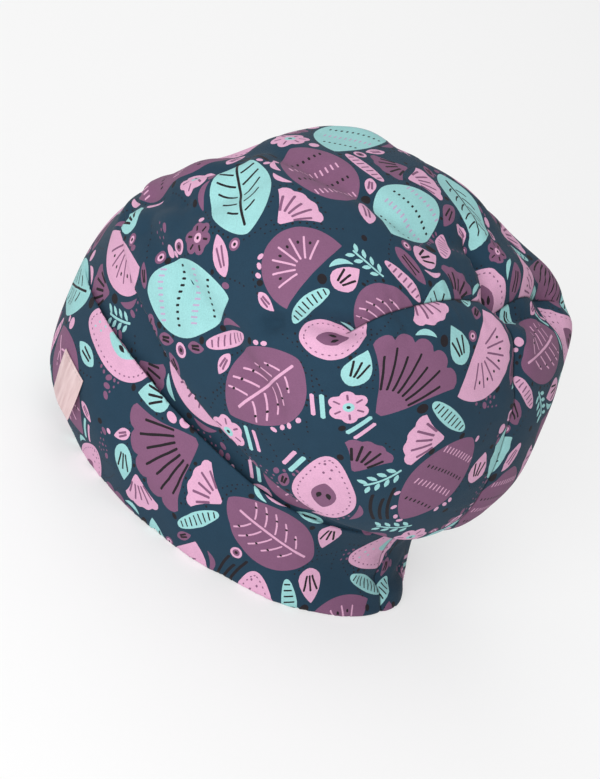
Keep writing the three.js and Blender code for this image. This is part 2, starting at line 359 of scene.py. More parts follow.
# The bag is cut at the back seam, from rim to top, and at three darts that run down from the
# top centre: far side, front and near side. A dart's column counts round from the back.
FLAT_COLUMNS = 72
Dart = namedtuple("Dart", "column end_level")
DARTS = [Dart(13, 6.4), Dart(36, 8.0), Dart(57, 5.9)]
PETAL_EDGES = [0] + [d.column for d in DARTS] + [FLAT_COLUMNS]
PARTING_RISE = 3  # levels over which the rows of the first layout part into petals
FLAT_ROUNDS = 60
SOLVER_STEPS = 40
WEIGHT_RANGE = (0.02, 20)  # limits for the weights of thin triangles

# Courses of the rows used for the layout, closer together in the folds: each stretch of the
# cloth with its number of rows.
STRETCHES = [
    (RIM_COURSE, 4),
    (RIM_ZONE, 5),
    (LIP_COURSE, 12),
    (STRIP_COURSE, 3),
    (OVERHANG_COURSE, 12),
    (CROWN_COURSE, 20),
    (TOP_COURSE, 0),
]


def flat_rows():
    pairs = zip(STRETCHES, STRETCHES[1:])
    rows = [np.linspace(low, high, count + 1)[:-1] for (low, count), (high, _) in pairs]
    return np.concatenate([*rows, [TOP_COURSE]])


def petal_of(column, on_right):
    """Which of the four petals between the cuts a column belongs to."""
    return sum(column > d.column or (column == d.column and on_right) for d in DARTS)


class Layout:
    """The cut bag as triangles, with each corner's place on the hat and on the flat cloth."""

    def __init__(self):
        self.rows = flat_rows()
        self.index = {}
        self.angle, self.course = [], []
        starts = [CROWN_COURSE + d.end_level - OVERHANG_LEVEL - TUCK_REACH for d in DARTS]
        self.ends = {d.column: int(np.searchsorted(self.rows, start)) for d, start in zip(DARTS, starts)}
        triangles = []
        for row in range(len(self.rows) - 1):
            for column in range(FLAT_COLUMNS):
                a, b = self.corner(column, row, True), self.corner(column + 1, row, False)
                d, c = self.corner(column, row + 1, True), self.corner(column + 1, row + 1, False)
                triangles.append((a, b, c))
                if c != d:
                    triangles.append((a, c, d))
        self.triangles = np.array(triangles)
        self.angle, self.course = np.array(self.angle), np.array(self.course)
        self.flat = flatten(cloth_point(self.angle, self.course), self.triangles, self.first_flat())
        self.tree = BVHTree.FromPolygons(flat_3d(self.flat).tolist(), self.triangles.tolist())

    def corner(self, column, row, on_right):
        """The number of the corner at a column and row, on the right or left of a cut."""
        if row == len(self.rows) - 1:
            key = ("top", petal_of(column, on_right))
        else:
            key = (column, row, on_right and row > self.ends.get(column, row))
        if key not in self.index:
            self.index[key] = len(self.angle)
            self.angle.append(2 * math.pi * column / FLAT_COLUMNS)
            self.course.append(self.rows[row])
        return self.index[key]

    def first_flat(self):
        """A first layout: rows as straight lines of their true length, petal by petal."""
        angles = full_turn(FLAT_COLUMNS)
        rings = [cloth_point(angles, np.full(FLAT_COLUMNS, c)) for c in self.rows]
        lengths = [steps_along(closed(ring)).sum() for ring in rings]
        heights = run_of([np.linalg.norm(b - a, axis=1).mean() for a, b in zip(rings, rings[1:])])
        start = np.zeros((len(self.angle), 2))
        for key, at in self.index.items():
            if key[0] == "top":
                petal, row = key[1], len(self.rows) - 1
                column = (PETAL_EDGES[petal] + PETAL_EDGES[petal + 1]) / 2
            else:
                column, row, on_right = key
                petal = min(petal_of(column, on_right), len(DARTS))
            middle = (PETAL_EDGES[petal] + PETAL_EDGES[petal + 1]) / 2
            apart = smooth_step((self.rows[row] - CROWN_COURSE) / PARTING_RISE)
            whole = column * max(lengths)
            parted = middle * max(lengths) + (column - middle) * lengths[row]
            start[at] = ((1 - apart) * whole + apart * parted) / FLAT_COLUMNS, heights[row]
        return start


def add_at(index, values, count):
    return np.stack([np.bincount(index, values[:, k], count) for k in range(2)], axis=1)


def flatten(point, triangles, flat):
    """Lays a cloth mesh out in the plane, each triangle kept as rigid as the rest allow."""
    a, b, c = (point[triangles[:, k]] for k in range(3))
    base = np.linalg.norm(b - a, axis=1)
    local = np.zeros((len(triangles), 3, 2))
    local[:, 1, 0] = base
    local[:, 2, 0] = ((c - a) * ((b - a) / base[:, None])).sum(1)
    local[:, 2, 1] = np.linalg.norm(np.cross(b - a, c - a), axis=1) / base
    following = [1, 2, 0]
    edge = local[:, following] - local
    tail, head = triangles.T.ravel(), triangles[:, following].T.ravel()
    one, two = -edge[:, following], edge[:, [2, 0, 1]]
    weight = np.clip((one * two).sum(-1) / np.maximum(abs(cross(one, two)), TINY), *WEIGHT_RANGE)
    flat_weight = weight.T.ravel()
    count = len(point)
    diagonal = (np.bincount(tail, flat_weight, count) + np.bincount(head, flat_weight, count))[:, None]

    def spread(x):
        pull = flat_weight[:, None] * (x[tail] - x[head])
        return add_at(tail, pull, count) - add_at(head, pull, count)

    for _ in range(FLAT_ROUNDS):
        # turn each triangle's own edges the way it lies now, and pull the corners to fit them
        now = flat[triangles[:, following]] - flat[triangles]
        sine = (weight * cross(edge, now)).sum(1)
        cosine = (weight * (edge * now).sum(-1)).sum(1)
        size = np.hypot(sine, cosine)
        sine, cosine = (sine / size)[:, None], (cosine / size)[:, None]
        x, y = edge[..., 0], edge[..., 1]
        turned = points_of(cosine * x - sine * y, sine * x + cosine * y)
        pull = (turned * weight[..., None]).transpose(1, 0, 2).reshape(-1, 2)
        wanted = add_at(head, pull, count) - add_at(tail, pull, count)
        # conjugate gradients, preconditioned by the diagonal
        rest = wanted - spread(flat)
        step = rest / diagonal
        energy = (rest * step).sum(0)
        for _ in range(SOLVER_STEPS):
            spread_step = spread(step)
            share = energy / np.maximum((step * spread_step).sum(0), 1e-12)
            flat = flat + share * step
            rest = rest - share * spread_step
            scaled = rest / diagonal
            after = (rest * scaled).sum(0)
            step = scaled + (after / np.maximum(energy, 1e-12)) * step
            energy = after
    return flat - flat.min(0)


# ------------------------------------------------------------------ the print

# A generic leaf and seed print, charted here as one repeating tile of flat cloth.
GROUND, PLUM, PINK, MINT, BLACK, LILAC = range(6)
TILE_WIDTH, TILE_HEIGHT = 300, 240
TILE_SEED = 11
OUTLINE_STEP = 1.7  # spacing of outline points on large motifs
FINE_STEP = 1.0
STROKE_STEP = 2.6

draw = np.random.default_rng(TILE_SEED)


def turn_points(points, angle):
    cos, sin = math.cos(angle), math.sin(angle)
    return points @ np.array([[cos, sin], [-sin, cos]])


def way_of(angle):
    return np.array([math.cos(angle), math.sin(angle)])


def oval(long, wide, at=(0, 0), turn=0.0):
    """An oval of that length and width, its long axis along x before it is turned."""
    count = max(6, int(math.pi * (long + wide) / 2 / (FINE_STEP if long < 12 else OUTLINE_STEP)))
    t = full_turn(count)
    points = points_of(np.cos(t) * long / 2, np.sin(t) * wide / 2)
    return turn_points(points, turn) + at


def blade(length, width, skew=1.0, fullness=0.8, bend=0.0):
    """A leaf along x, its base on the left; skew moves the widest part, bend curves it."""
    count = max(5, int(length / (FINE_STEP if length < 16 else OUTLINE_STEP)))
    t = (1 - np.cos(np.pi * np.arange(count + 1) / count)) / 2
    half = width / 2 * np.maximum(np.sin(np.pi * t**skew), 0) ** fullness
    spine = bend * length * 4 * t * (1 - t)
    x = (t - 0.5) * length
    return np.vstack([points_of(x, spine - half)[1:-1], points_of(x, spine + half)[::-1]])


def stroke(start, end, width, bend=0.0):
    """A round-ended brush stroke of even width between two points."""
    start, end = np.asarray(start, float), np.asarray(end, float)
    along = end - start
    length = float(np.hypot(*along))
    cap = min(width * 0.3, length / 4)
    x = np.linspace(cap, length - cap, max(1, round(length / STROKE_STEP)) + 1)
    spine = bend * x * (1 - x / length) * 4
    lower, upper = points_of(x, spine - width / 2), points_of(x, spine + width / 2)[::-1]
    points = np.vstack([lower, [[length, 0]], upper, [[0, 0]]])
    return turn_points(points, math.atan2(along[1], along[0])) + start


def fan(radius, spread, scallops, depth=0.08):
    """A fan from its stalk at the origin out to a scalloped edge, opening along x."""
    count = max(12, int(radius * spread / OUTLINE_STEP))
    t = np.linspace(-spread / 2, spread / 2, count + 1)
    wave = abs(np.sin(np.pi * scallops * (t / spread + 0.5))) ** 0.6
    reach = radius * (1 - depth + depth * wave)
    rim = points_of(reach * np.cos(t), reach * np.sin(t))
    s = np.linspace(0.06, 1, max(3, int(radius / OUTLINE_STEP / 1.5)), endpoint=False)[:, None]
    hollow = np.hstack([np.ones_like(s), 1 - 0.16 * np.sin(np.pi * s)])
    first, second = rim[0] * s * hollow, rim[-1] * s[::-1] * hollow[::-1]
    return np.vstack([first, rim, second]) - [radius * 0.55, 0]


def pear(length, width):
    """A rounded fruit along x, narrow at the left."""
    t = full_turn(int(math.pi * (length + width) / 2 / OUTLINE_STEP))
    neck = 0.62 + 0.38 * smooth_step((np.cos(t) + 1) / 2 * 1.25)
    return points_of(np.cos(t) * length / 2, np.sin(t) * neck * width / 2)


def half_round(width, height):
    t = np.linspace(0, np.pi, int(width * 1.6 / OUTLINE_STEP) + 1)
    arc = points_of(np.cos(t) * width / 2, np.sin(t) * height)
    base = np.linspace(-1, 1, int(width / OUTLINE_STEP) + 1)[1:-1]
    sag = -0.08 * height * (1 - base**2)
    return np.vstack([arc, points_of(base * width / 2, sag)]) - [0, height * 0.42]


def petals(radius, count, notch=0.24):
    t = full_turn(int(2 * math.pi * radius * 1.3 / OUTLINE_STEP))
    reach = radius * (1 - notch + notch * abs(np.sin(count * t / 2)) ** 0.8)
    return points_of(reach * np.cos(t), reach * np.sin(t))


def wobble(points, amount):
    """A hand-drawn unevenness, smooth along the outline."""
    t = full_turn(len(points))
    shift = np.zeros(len(points))
    for waves in (2, 3, 5):
        shift += draw.normal() * np.sin(waves * t + draw.uniform(0, 2 * np.pi)) / waves
    middle = points.mean(0)
    return middle + (points - middle) * (1 + amount * shift)[:, None]


def inset_dots(outline, ink, inset, spacing, size):
    """A row of dots just inside an outline."""
    line = closed(outline)
    run = run_of(steps_along(line))
    at = np.arange(0, run[-1] - spacing / 2, spacing)
    points = place_on(line, run, at)
    along = unit(place_on(line, run, (at + 1) % run[-1]) - points)
    points += points_of(-along[:, 1], along[:, 0]) * inset
    for point, (x, y) in zip(points, along):
        yield ink, oval(size * 1.7, size, point, math.atan2(y, x))


# Each motif gives inks and outlines, the widest first and the others painted over it. Bare
# numbers are shares of the motif's own size, millimetres of what keeps one size, or radians of
# a lean.


def leaf_with_veins(length, width, ink, vein, pairs, spots=None):
    yield ink, wobble(blade(length, width, 0.9, 0.72), 0.02)
    yield vein, stroke((-length * 0.42, 0), (length * 0.36, 0), 1.2)
    for k in range(pairs):
        x = -length * 0.3 + length * 0.6 * k / pairs
        reach = width * 0.34 * math.sin(math.pi * (x / length + 0.5) ** 0.9)
        for side in (-1, 1):
            yield vein, stroke((x + 0.9, side * 1.4), (x + reach * 0.75, side * reach), 0.9, side * 0.06)
            if spots is not None:
                yield spots, oval(1.7, 1.2, (x + reach * 0.2 + 3.0, side * (reach * 0.62 + 1.2)))


def pear_half(length, width, ink, core, margin):
    outline = wobble(pear(length, width), 0.015)
    yield ink, outline
    yield from inset_dots(outline, margin, 2.4, 3.4, 0.75)
    heart = turn_points(blade(length * 0.42, width * 0.36, 1.0, 0.7), math.pi)
    yield core, heart + [length * 0.1, 0]
    for side in (-1, 1):
        yield BLACK, turn_points(blade(4.6, 2.3, 0.8), side * 0.25) + [length * 0.1, side * width * 0.07]
    for k in range(4):
        yield core, oval(1.5, 1.2, (-length * 0.2 - 2.6 * k, (-1) ** k * 1.5))


def dashed_leaf(length, width, ink, dash, fleck):
    yield ink, wobble(blade(length, width, 1.15, 0.62, 0.04), 0.02)
    rows = 4
    for row in range(rows):
        x = -length * 0.3 + length * 0.56 * row / (rows - 1)
        reach = width * 0.38 * math.sin(math.pi * (x / length + 0.5) ** 1.15) ** 0.62
        marks = max(2, int(reach * 2 / 2.3))
        mark, long, wide = (fleck, 3.4, 0.75) if row % 2 else (dash, 2.0, 0.95)
        for k in range(marks + 1):
            y = reach * (2 * k / marks - 1)
            at = (x - 0.05 * y * y / max(reach, 1) + 1.2, y + width * 0.03)
            yield mark, stroke(at, (at[0] + long, at[1]), wide)


def ribbed_fan(radius, ink, rib, ribs, scallops=5):
    spread = 1.5
    yield ink, wobble(fan(radius, spread, scallops), 0.015)
    stalk = np.array([-radius * 0.55, 0])
    for k in range(ribs):
        way = way_of(spread * 0.8 * (k / (ribs - 1) - 0.5)) * radius
        yield rib, stroke(stalk + way * 0.34, stalk + way * (0.84 if k % 2 else 0.76), 1.2)


def slice_half(width, height, ink, rib, pip):
    yield ink, wobble(half_round(width, height), 0.012)
    middle = np.array([0, -height * 0.36])
    segments = 6
    leans = [math.pi * (0.12 + 0.76 * k / 2 / segments) for k in range(2 * segments + 1)]
    ways = [way_of(lean) * [width / 2, height] for lean in leans]
    for way in ways[::2]:
        yield rib, stroke(middle + way * 0.22, middle + way * 0.74, 0.9)
    for lean, way in zip(leans[1::2], ways[1::2]):
        yield pip, oval(1.9, 1.3, middle + way * 0.6, lean)


def rosette(radius, ink, mark, core):
    yield ink, wobble(petals(radius, 6), 0.01)
    for k in range(6):
        way = way_of(math.pi * (2 * k + 1) / 6) * radius
        yield mark, stroke(way * 0.42, way * 0.8, 0.9)
    yield core, oval(radius * 0.56, radius * 0.56)
    yield BLACK, oval(radius * 0.22, radius * 0.22)


def pod(length, width, ink, bar):
    yield ink, wobble(blade(length, width, 1.0, 0.42), 0.01)
    bars = int(length / 3.0)
    for k in range(1, bars):
        x = length * (k / bars - 0.5)
        reach = width * 0.34 * math.sin(math.pi * k / bars) ** 0.42
        yield bar, stroke((x, -reach), (x + 0.5, reach), 0.8)


def lined_leaf(length, width, ink, line):
    yield ink, wobble(blade(length, width, 0.85, 0.75), 0.02)
    for side in (-1, 1):
        yield line, stroke((-length * 0.28, side * width * 0.1), (length * 0.22, side * width * 0.16), 1.0)


def tulip(length, width, ink, line):
    yield ink, wobble(turn_points(blade(length, width, 1.5, 0.55), math.pi), 0.015)
    for lean in (-0.28, 0.0, 0.28):
        start = np.array([-length * 0.28, math.sin(lean) * width * 0.4])
        yield line, stroke(start, start + way_of(lean) * length * 0.46, 1.1)


def crescent(length, width, ink):
    yield ink, blade(length, width, 1.0, 0.7, 0.16)


def sprig(length, ink):
    yield ink, stroke((-length / 2, 0), (length / 2, 0), 1.1, 0.05)
    pairs = max(2, int(length / 4.2))
    for k in range(pairs):
        x = length * ((k + 0.6) / pairs - 0.5)
        for side in (-1, 1):
            yield ink, turn_points(blade(4.8, 2.2), side * 0.85) + [x + 1.3, side * 2.7 + 0.6]


def grass(length, ink):
    for y, share in ((-3.0, 1.0), (0.0, 0.72), (3.0, 0.85)):
        yield ink, stroke((-length / 2, y), (length * (share - 0.5), y * 1.5), 1.5, 0.07)


def sticks(length, one, other):
    yield one, stroke((-length / 2, -1.9), (length / 2, -1.9), 2.0)
    yield other, stroke((-length * 0.42, 1.9), (length * 0.46, 2.2), 1.8)


def berry(size, *inks):
    for ink, share in zip(inks, (1.0, 0.62, 0.3)):
        yield ink, oval(size * share, size * share * 0.94)


def dot(size, ink, stretch=1.25):
    yield ink, oval(size * stretch, size)


def dot_row(count, size, spacing, ink):
    """Dots along a gentle arc."""
    reach = spacing / 0.09
    for t in (np.arange(count) - (count - 1) / 2) * 0.09:
        yield ink, oval(size, size * 0.85, (reach * math.sin(t), reach * (1 - math.cos(t))), t)


# Motifs in the order they are fitted in, biggest first: how many at most, the gap kept round
# each, how strongly it likes to be near others (or to keep away from them) within a reach,
# how much each is grown when its place is sought, and the choices to take in turn.
Batch = namedtuple("Batch", "most gap liking reach growth choices")
LARGE = [
    (leaf_with_veins, 54, 34, PLUM, PINK, 5, BLACK),
    (pear_half, 48, 33, PINK, MINT, PLUM),
    (dashed_leaf, 54, 30, MINT, BLACK, LILAC),
    (ribbed_fan, 40, PLUM, BLACK, 7),
    (slice_half, 46, 24, PINK, PLUM, BLACK),
    (dashed_leaf, 50, 33, PLUM, BLACK, PINK),
    (leaf_with_veins, 48, 28, MINT, BLACK, 5),
    (pear_half, 42, 29, PINK, PLUM, PLUM),
    (slice_half, 42, 23, PLUM, PINK, BLACK),
]
MIDDLING = [
    (ribbed_fan, 20, PINK, PLUM, 5, 4),
    (lined_leaf, 20, 9, PLUM, BLACK),
    (pod, 27, 7.5, MINT, BLACK),
    (tulip, 19, 13, MINT, BLACK),
    (rosette, 8.5, PINK, PLUM, MINT),
    (lined_leaf, 18, 8, PINK, PLUM),
    (ribbed_fan, 18, PLUM, BLACK, 5, 4),
    (tulip, 18, 12, PINK, BLACK),
    (pod, 24, 7, PINK, PLUM),
    (sprig, 17, MINT),
    (lined_leaf, 17, 7.5, MINT, BLACK),
    (grass, 22, BLACK),
    (rosette, 7, PLUM, BLACK, PINK),
]
SMALL = [
    (sticks, 13, MINT, PINK),
    (crescent, 13, 3.0, PLUM),
    (berry, 6.4, PINK, PLUM, BLACK),
    (lined_leaf, 11, 5.4, PINK, PLUM),
    (crescent, 12, 2.8, MINT),
    (dot, 4.6, PINK),
    (berry, 5.6, PLUM, PINK, BLACK),
    (lined_leaf, 10, 5, PLUM, BLACK),
    (dot, 4.4, BLACK),
    (crescent, 11, 2.6, PINK),
]
DOTS = [
    (dot_row, 6, 1.0, 2.8, BLACK),
    (dot_row, 4, 1.2, 3.0, BLACK),
    (dot, 2.8, BLACK),
    (dot, 2.6, PLUM, 1.6),
    (dot_row, 4, 0.9, 2.6, BLACK),
    (dot_row, 3, 1.3, 3.2, PLUM),
    (dot, 1.9, BLACK),
    (dot, 2.2, PINK, 1.5),
    (dot_row, 3, 1.0, 2.6, BLACK),
    (dot, 1.3, BLACK, 1.0),
    (dot, 1.6, PLUM, 1.2),
]
BATCHES = [
    Batch(27, 4.2, -1.0, 26.0, 0.0, LARGE),
    Batch(62, 3.0, 0.3, 8.0, 0.0, MIDDLING),
    Batch(90, 2.1, 0.6, 4.0, 0.0, SMALL),
    Batch(370, 0.8, 0.0, 4.0, 0.6, DOTS),
]
TURNS_TRIED = 5  # directions tried for each motif
ALIKE_REACH = 16.0  # motifs of one colour keep about this far apart
ALIKE_DISLIKE = 1.2
LUCK = 0.01  # the part of a place's score that is chance


def inside(points, outline):
    """Whether points lie in a closed outline, by counting crossings to the right."""
    x, y = points[:, 0][:, None], points[:, 1][:, None]
    x0, y0 = outline[:, 0], outline[:, 1]
    x1, y1 = np.roll(x0, -1), np.roll(y0, -1)
    spans = (y0 <= y) != (y1 <= y)
    rise = np.where(abs(y1 - y0) < 1e-12, 1e-12, y1 - y0)
    return (spans & (x < x0 + (y - y0) / rise * (x1 - x0))).sum(1) % 2 == 1


def covered(outlines, grow):
    """The tile's cells within grow of any of the outlines, as a picture from its corner."""
    picture = np.zeros((TILE_HEIGHT, TILE_WIDTH), bool)
    for outline in outlines:
        low = np.floor(outline.min(0) - grow).astype(int)
        high = np.ceil(outline.max(0) + grow).astype(int)
        xs, ys = np.meshgrid(np.arange(low[0], high[0] + 1), np.arange(low[1], high[1] + 1))
        cells = points_of(xs.ravel(), ys.ravel())
        hit = inside(cells, outline)
        if grow > 0:
            hit |= path_distance(cells, closed(outline))[0] < grow
        picture[ys.ravel()[hit] % TILE_HEIGHT, xs.ravel()[hit] % TILE_WIDTH] = True
    return picture


# How far each of the tile's cells is from its corner, when the tile repeats.
FROM_CORNER = np.hypot(
    np.minimum(np.arange(TILE_HEIGHT), TILE_HEIGHT - np.arange(TILE_HEIGHT))[:, None],
    np.minimum(np.arange(TILE_WIDTH), TILE_WIDTH - np.arange(TILE_WIDTH)),
)


def spectrum(picture):
    return np.fft.rfft2(picture.astype(float))


def matches(field, shape):
    """At every shift of a shape over the tile, the sum of a field under it."""
    return np.fft.irfft2(field * np.conj(shape), s=FROM_CORNER.shape)


def soften(picture, reach):
    """The spectrum of a picture blurred over about reach cells."""
    bell = np.exp(-((FROM_CORNER / reach) ** 2))
    return spectrum(picture) * spectrum(bell / bell.sum())


def grown(picture, reach):
    """A picture's cells and all those within reach."""
    return matches(spectrum(picture), spectrum(FROM_CORNER <= reach)) > 0.5


def make_tile():
    """Fits the motifs closely together on a tile that repeats, as (ink, outline) groups."""
    inked = {ink: np.zeros((TILE_HEIGHT, TILE_WIDTH), bool) for ink in range(6)}
    placed = []
    for batch in BATCHES:
        misses = 0
        taken = grown(np.any(list(inked.values()), axis=0), batch.gap)
        for turn in range(batch.most):
            motif, *values = batch.choices[turn % len(batch.choices)]
            layers = list(motif(*values))
            ink = layers[0][0]
            taken_field, near_field = spectrum(taken), soften(taken, batch.reach)
            same_field = soften(inked[ink], ALIKE_REACH)
            best = None
            for _ in range(TURNS_TRIED):
                angle = draw.uniform(0, 2 * math.pi)
                shape = covered([turn_points(o, angle) for _, o in layers], batch.growth)
                area, shape = shape.sum(), spectrum(shape)
                free = matches(taken_field, shape) < 0.5
                if not free.any():
                    continue
                liked = batch.liking * (matches(near_field, shape) / area)
                liked -= ALIKE_DISLIKE * (matches(same_field, shape) / area)
                score = np.where(free, liked, -9) + draw.uniform(0, LUCK, free.shape)
                at = np.unravel_index(score.argmax(), score.shape)
                if best is None or score[at] > best[0]:
                    best = (score[at], at, angle)
            if best is None:
                misses += 1
                if misses > len(batch.choices):
                    break
                continue
            _, (y, x), angle = best
            outlines = [turn_points(o, angle) + [x, y] for _, o in layers]
            taken |= covered(outlines, batch.gap)
            inked[ink] |= covered(outlines, 0.0)
            placed.append([(layer[0], outline) for layer, outline in zip(layers, outlines)])
    return placed


# ------------------------------------------------------------------ the outer cloth's mesh

PRINT_SHIFT = np.array([40.0, -10.0])  # where the first tile starts on the flat cloth
EDGE_STEP = 2.2  # spacing of points along a cut edge
OPEN_STEP = 2.4  # spacing of fill points on open cloth
FOLD_STEP = 0.9  # spacing of fill rows across a fold
SEAM_ROWS = (0.45, 0.95, 1.7, 2.7, 3.9)  # distances of the fill rows beside a seam
SEAM_CLEAR = 0.4  # how far those points keep from others
OPEN_CLEAR = 0.9
SORT_CELL = 5.0  # size of the squares that sort the triangles
JOIN = 1e-3  # points nearer than this are one


class Side:
    """One side of a cut, from its low end to the top centre, followed by its row number."""

    def __init__(self, layout, corners, toward):
        self.flat = layout.flat[corners]
        self.toward = toward  # 1 where the cloth lies to the right of the side, -1 to the left

    def place(self, at):
        return place_on(self.flat, np.arange(len(self.flat)), at)

    def regular(self):
        """Row numbers in nearly even steps along the side; every corner of it is one of them."""
        parts = np.maximum(1, np.round(steps_along(self.flat) / EDGE_STEP)).astype(int)
        return np.append(np.concatenate([k + np.arange(n) / n for k, n in enumerate(parts)]), len(parts))

    def crossings(self, starts, ends):
        """Row numbers where print outlines, given as segments, cross the side."""
        found = []
        for row, (low, along) in enumerate(zip(self.flat, np.diff(self.flat, axis=0))):
            first, second = cross(along, starts - low), cross(along, ends - low)
            hit = (first < 0) != (second < 0)
            share = (first[hit] / (first[hit] - second[hit]))[:, None]
            point = starts[hit] + share * (ends[hit] - starts[hit])
            at = (point - low) @ along / (along @ along)
            found.append(row + at[(at >= 0) & (at <= 1)])
        return np.concatenate(found)

    def beside(self):
        """Rows of points on the cloth along the side."""
        at = self.regular()
        step = 0.05
        ahead = self.place(np.minimum(at + step, at[-1])) - self.place(np.maximum(at - step, 0))
        across = unit(points_of(ahead[:, 1], -ahead[:, 0])) * self.toward
        return np.vstack([self.place(at) + across * distance for distance in SEAM_ROWS])


def cut_sides(layout):
    """The two sides of the back cut and of each dart, the cloth right of the first."""
    cuts = [(0, FLAT_COLUMNS, 0)] + [(d.column, d.column, layout.ends[d.column]) for d in DARTS]
    pairs = []
    for first, second, low in cuts:
        rows = range(low, len(layout.rows))
        right = Side(layout, [layout.corner(first, row, True) for row in rows], 1)
        pairs.append((right, Side(layout, [layout.corner(second, row, False) for row in rows], -1)))
    return pairs


def on_cloth(layout, points):
    """Whether points of the plane lie on the flat cloth."""
    find = layout.tree.find_nearest
    return np.array([find((x, y, 0.0), JOIN)[3] is not None for x, y in points], bool)


def print_on(layout):
    """The tile repeated over the flat cloth: inks and outlines, in painting order."""
    wide, high = layout.flat.max(0)
    tile = make_tile()
    printed = []
    for column in range(-1, int(wide // TILE_WIDTH) + 2):
        for row in range(-1, int(high // TILE_HEIGHT) + 2):
            shift = PRINT_SHIFT + [column * TILE_WIDTH, row * TILE_HEIGHT]
            for motif in tile:
                if on_cloth(layout, motif[0][1] + shift).any():
                    printed += [(ink, outline + shift) for ink, outline in motif]
    return printed


def fill_points(layout):
    """Evenly spread points over the flat cloth, closer together across the folds."""
    # the left and right corners of the columns in each row
    columns = range(FLAT_COLUMNS)
    grid = [
        [[layout.corner(c, row, True) for c in columns], [layout.corner(c + 1, row, False) for c in columns]]
        for row in range(len(layout.rows))
    ]
    grid = layout.flat[np.array(grid)]
    points = []
    for row, (low, high) in enumerate(zip(grid, grid[1:])):
        height = np.linalg.norm(high[0] - low[0], axis=1).mean()
        course = (layout.rows[row] + layout.rows[row + 1]) / 2
        in_fold = LIP_COURSE < course < STRIP_COURSE or OVERHANG_COURSE < course < CROWN_COURSE
        lines = max(1, round(height / (FOLD_STEP if in_fold or course < 0 else OPEN_STEP)))
        for line in range(lines):
            share = line / lines
            starts, ends = low * (1 - share) + high * share
            lengths = np.linalg.norm(ends - starts, axis=1)
            run = run_of(lengths)
            at = np.arange((line % 2 + 0.5) * OPEN_STEP / 2, run[-1], OPEN_STEP)
            piece = np.clip(np.searchsorted(run, at, side="right") - 1, 0, FLAT_COLUMNS - 1)
            part = ((at - run[piece]) / np.maximum(lengths[piece], JOIN))[:, None]
            points.append(starts[piece] * (1 - part) + ends[piece] * part)
    return np.vstack(points)


def tree_of(points):
    tree = KDTree(len(points))
    for at, point in enumerate(points):
        tree.insert(point, at)
    tree.balance()
    return tree


def flat_3d(points):
    return np.hstack([points, np.zeros((len(points), 1))])


def clear_of(points, others, distance):
    """The points that are at least this far from the others."""
    tree = tree_of(flat_3d(others))
    gaps = np.array([tree.find((x, y, 0.0))[2] for x, y in points])
    return points[gaps >= distance]


def spaced(points, distance):
    """The points in order, without those too near to an earlier one."""
    kept, cells = [], {}
    for x, y in points:
        column, row = int(x // distance), int(y // distance)
        around = [(i, j) for i in (column - 1, column, column + 1) for j in (row - 1, row, row + 1)]
        near = [other for cell in around for other in cells.get(cell, ())]
        if all((x - a) ** 2 + (y - b) ** 2 >= distance**2 for a, b in near):
            cells.setdefault((column, row), []).append((x, y))
            kept.append((x, y))
    return np.array(kept)


def doubled_area(p, q, r):
    return cross(q - p, r - p)


def triangulate(layout, printed):
    """Triangles of the flat cloth that follow its cut edges and the print's outlines."""
    starts = np.vstack([outline for _, outline in printed])
    ends = np.vstack([np.roll(outline, -1, axis=0) for _, outline in printed])
    lines = [(outline, True) for _, outline in printed]
    seams = []
    for pair in cut_sides(layout):
        crossed = [side.crossings(starts, ends) for side in pair]
        at = np.unique(np.concatenate([pair[0].regular(), *crossed]))
        at = at[np.concatenate([[True], np.diff(at) > JOIN])]
        lines += [(side.place(at), False) for side in pair]
        seams += [side.beside() for side in pair]
    rim = Side(layout, [layout.corner(column, 0, True) for column in range(FLAT_COLUMNS + 1)], 0)
    lines.append((rim.place(rim.regular()), False))
    edges = []
    count = 0
    for line, ends_meet in lines:
        ring = np.arange(count, count + len(line))
        pairs = np.stack([ring, np.roll(ring, -1)], axis=1)
        edges.append(pairs if ends_meet else pairs[:-1])
        count += len(line)
    points = np.vstack([line for line, _ in lines])
    beside = clear_of(spaced(np.vstack(seams), SEAM_CLEAR), points, SEAM_CLEAR)
    spread = clear_of(fill_points(layout), np.vstack([points, beside]), OPEN_CLEAR)
    fill = np.vstack([beside, spread])
    points = np.vstack([points, fill[on_cloth(layout, fill)]])
    corners = [Vector(p) for p in points.tolist()]
    made = delaunay_2d_cdt(corners, np.vstack(edges).tolist(), [], 0, JOIN, False)
    flat = np.array([tuple(v) for v in made[0]])
    faces = np.array(made[2])
    area = doubled_area(*(flat[faces[:, k]] for k in range(3))) / 2
    faces[area < 0] = faces[area < 0][:, ::-1]
    faces = faces[abs(area) > JOIN**2]
    return flat, faces[on_cloth(layout, flat[faces].mean(1))]


def seam_gaps(layout, points):
    """How far points of the flat cloth are from the nearest cut edge."""
    gaps = [path_distance(points, side.flat)[0] for pair in cut_sides(layout) for side in pair]
    return np.min(gaps, axis=0)


def inks_of(middles, printed):
    """The ink at each place: that of the last outline round it."""
    ink = np.full(len(middles), GROUND)
    cells = {}
    for at, (x, y) in enumerate((middles // SORT_CELL).astype(int).tolist()):
        cells.setdefault((x, y), []).append(at)
    for layer_ink, outline in printed:
        low = (outline.min(0) // SORT_CELL).astype(int)
        high = (outline.max(0) // SORT_CELL).astype(int)
        touched = [(x, y) for x in range(low[0], high[0] + 1) for y in range(low[1], high[1] + 1)]
        near = np.array([at for cell in touched for at in cells.get(cell, ())], int)
        ink[near[inside(middles[near], outline)]] = layer_ink
    return ink


